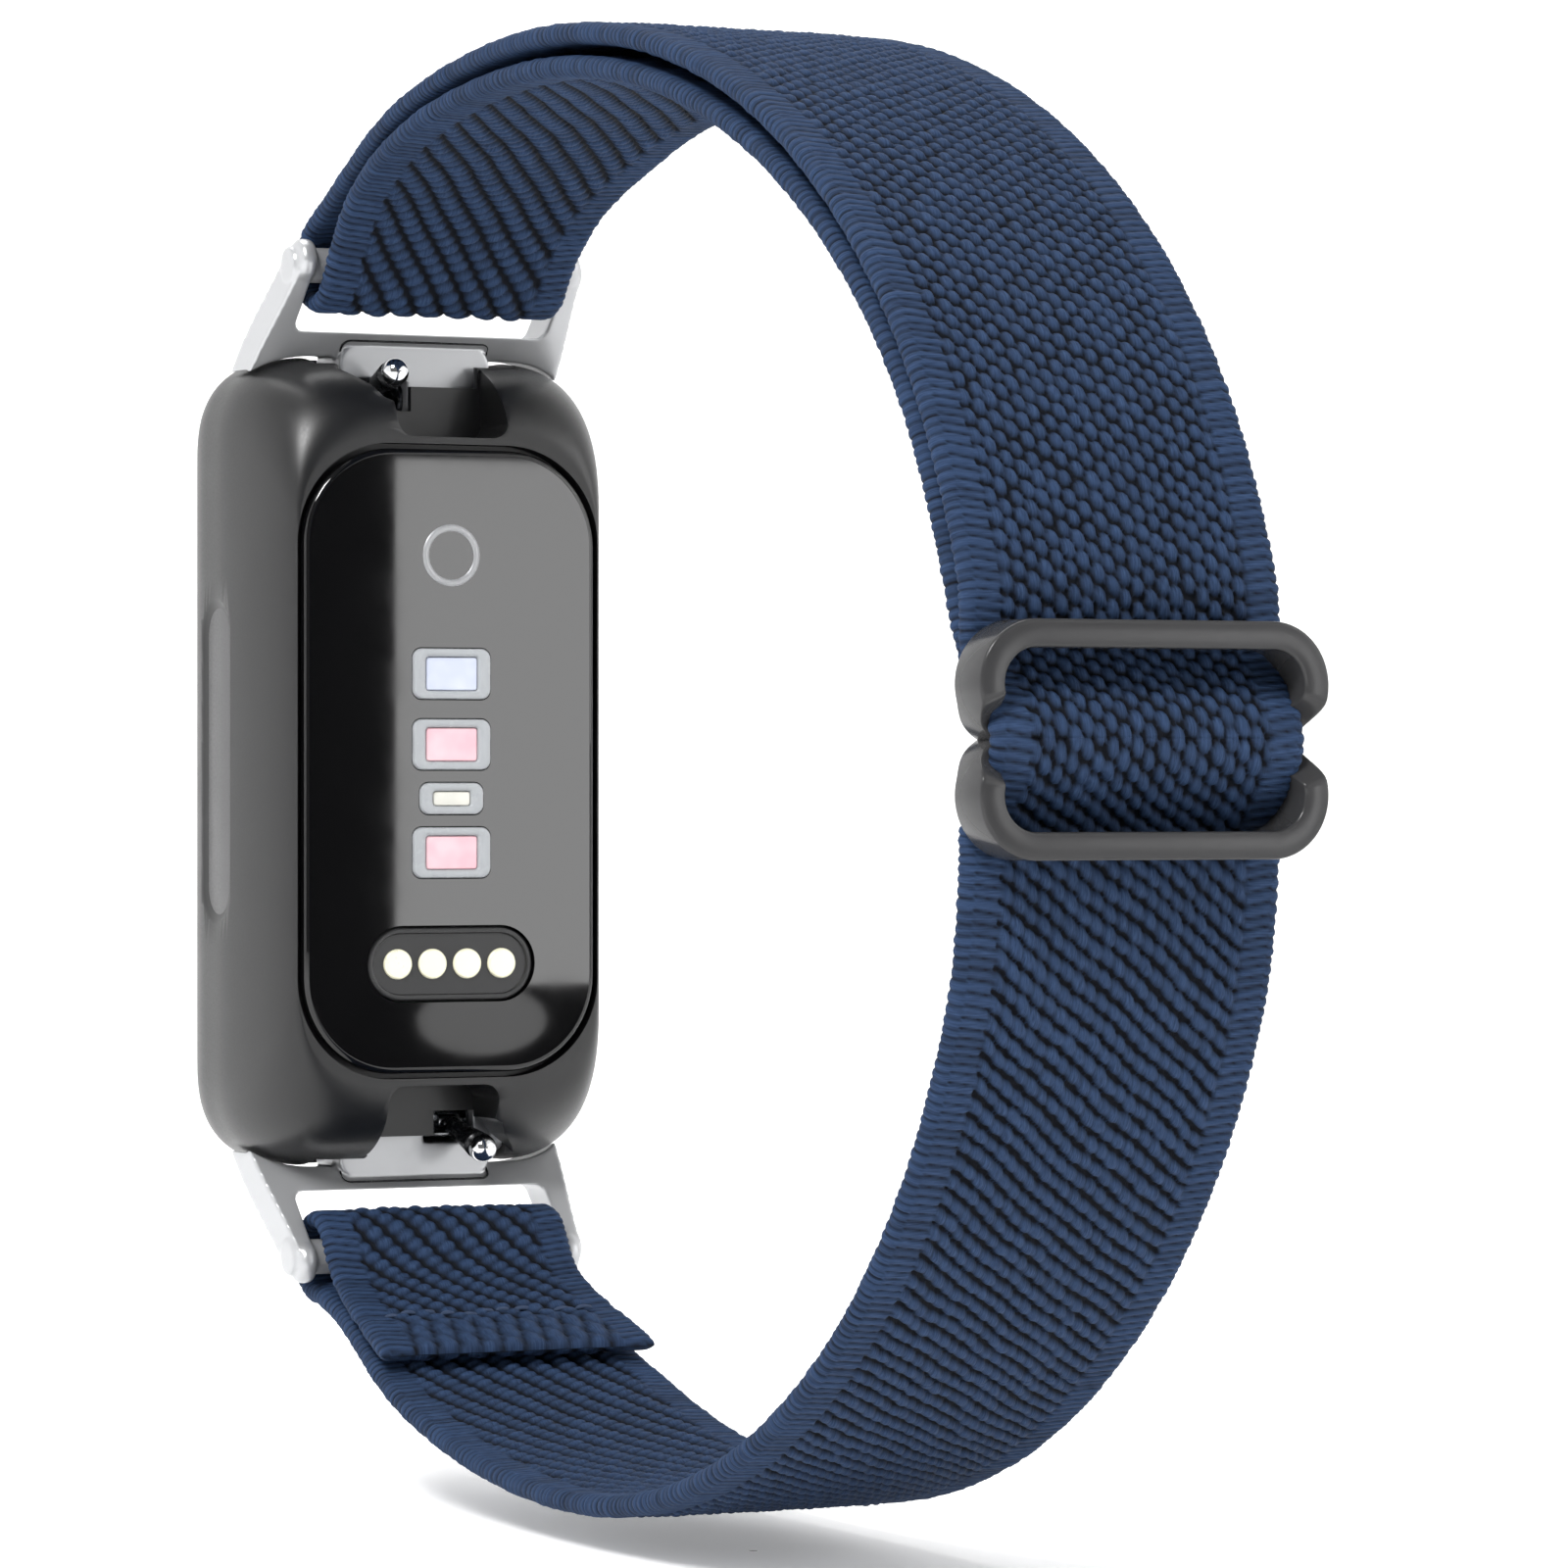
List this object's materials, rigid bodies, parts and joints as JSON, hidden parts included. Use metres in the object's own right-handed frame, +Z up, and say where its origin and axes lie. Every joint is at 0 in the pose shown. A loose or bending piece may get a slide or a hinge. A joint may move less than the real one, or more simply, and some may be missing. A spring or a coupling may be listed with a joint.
{
  "type": "fitness tracker band",
  "caption": "Pebble shaped wrist tracker on an elastic woven strap, held by metal quick release adapters and closed with a double loop slider.",
  "frame": {"origin": "middle of the wrist opening, half way across the band's width", "axes": "+X across the band along the wrist, +Y from the wrist towards the tracker's display, +Z up along the tracker's length"},
  "size_m": [0.0186, 0.0808, 0.0654],
  "materials": {
    "case_plastic": "satin moulded plastic",
    "gloss_plate": "polished",
    "lens_clear": "clear to milky",
    "window_blue": "clear over pale sensor",
    "window_pink": "clear over pink sensor",
    "window_white": "clear over light emitters",
    "pad_rubber": "matte",
    "contact_gold": "pale gold plating",
    "circuit": "solder mask",
    "foil": "foil pouch",
    "display_glass": "polished, black when off",
    "adapter_silver": "satin silver",
    "pin_steel": "bright",
    "ball_steel": "polished",
    "lever_black": "black coated",
    "slider_gunmetal": "glossy gunmetal plating",
    "strap_webbing": "woven elastic nylon",
    "thread": "sewing thread"
  },
  "bodies": {
    "tracker": {"case_body": "case_plastic", "back_plate": "gloss_plate", "sensor_bezel_1": "lens_clear", "sensor_bezel_2": "lens_clear", "sensor_bezel_3": "lens_clear", "sensor_bezel_4": "lens_clear", "sensor_window_1": "window_blue", "sensor_window_2": "window_pink", "sensor_window_3": "window_white", "sensor_window_4": "window_pink", "contact_pad": "pad_rubber", "charge_contact_1": "contact_gold", "charge_contact_2": "contact_gold", "charge_contact_3": "contact_gold", "charge_contact_4": "contact_gold", "squeeze_pad_left": "case_plastic", "squeeze_pad_right": "case_plastic", "sensor_board": "circuit", "battery": "foil", "main_board": "circuit", "vibration_motor": "pin_steel", "display_panel": "gloss_plate", "display_gasket": "pad_rubber", "display_glass": "display_glass", "strap_outer_upper": "strap_webbing", "strap_inner_upper": "strap_webbing", "strap_lower": "strap_webbing", "strap_tail": "strap_webbing", "tail_seam": "thread", "strap_outer_feed": "strap_webbing", "strap_inner_feed": "strap_webbing", "strap_lower_feed": "strap_webbing"},
    "upper_adapter": {"upper_adapter_frame": "adapter_silver", "upper_spring_bar_tube": "pin_steel", "upper_fixed_tip": "pin_steel", "upper_release_spring": "pin_steel", "strap_upper_loop": "strap_webbing"},
    "upper_release": {"upper_release_pin": "pin_steel", "upper_lever_stalk": "lever_black", "upper_lever_ball": "ball_steel"},
    "lower_adapter": {"lower_adapter_frame": "adapter_silver", "lower_spring_bar_tube": "pin_steel", "lower_fixed_tip": "pin_steel", "lower_release_spring": "pin_steel", "strap_lower_loop": "strap_webbing"},
    "lower_release": {"lower_release_pin": "pin_steel", "lower_lever_stalk": "lever_black", "lower_lever_ball": "ball_steel"},
    "slider": {"slider_frame": "slider_gunmetal", "strap_slider_hump": "strap_webbing", "strap_sewn_end": "strap_webbing", "sewn_end_seam": "thread"}
  },
  "joints": [
    {"name": "upper_adapter_swing", "type": "hinge", "parent": "tracker", "child": "upper_adapter", "pos_m": [0, 0.039, 0.0176], "axis": [1, 0, 0], "range_deg": [-4, 4]},
    {"name": "upper_release_slide", "type": "slide", "parent": "upper_adapter", "child": "upper_release", "axis": [1, 0, 0], "range_m": [0, 0.0011], "stiffness_N_per_m": 300, "springref_m": -0.001},
    {"name": "lower_adapter_swing", "type": "hinge", "parent": "tracker", "child": "lower_adapter", "pos_m": [0, 0.039, -0.0176], "axis": [1, 0, 0], "range_deg": [-4, 4]},
    {"name": "lower_release_slide", "type": "slide", "parent": "lower_adapter", "child": "lower_release", "axis": [-1, 0, 0], "range_m": [0, 0.0011], "stiffness_N_per_m": 300, "springref_m": -0.001},
    {"name": "slider_travel", "type": "hinge", "parent": "tracker", "child": "slider", "pos_m": [0, -0.0068, 0.0006], "axis": [1, 0, 0], "range_deg": [-10, 10], "deforming": ["strap_outer_feed", "strap_inner_feed", "strap_lower_feed"]}
  ]
}
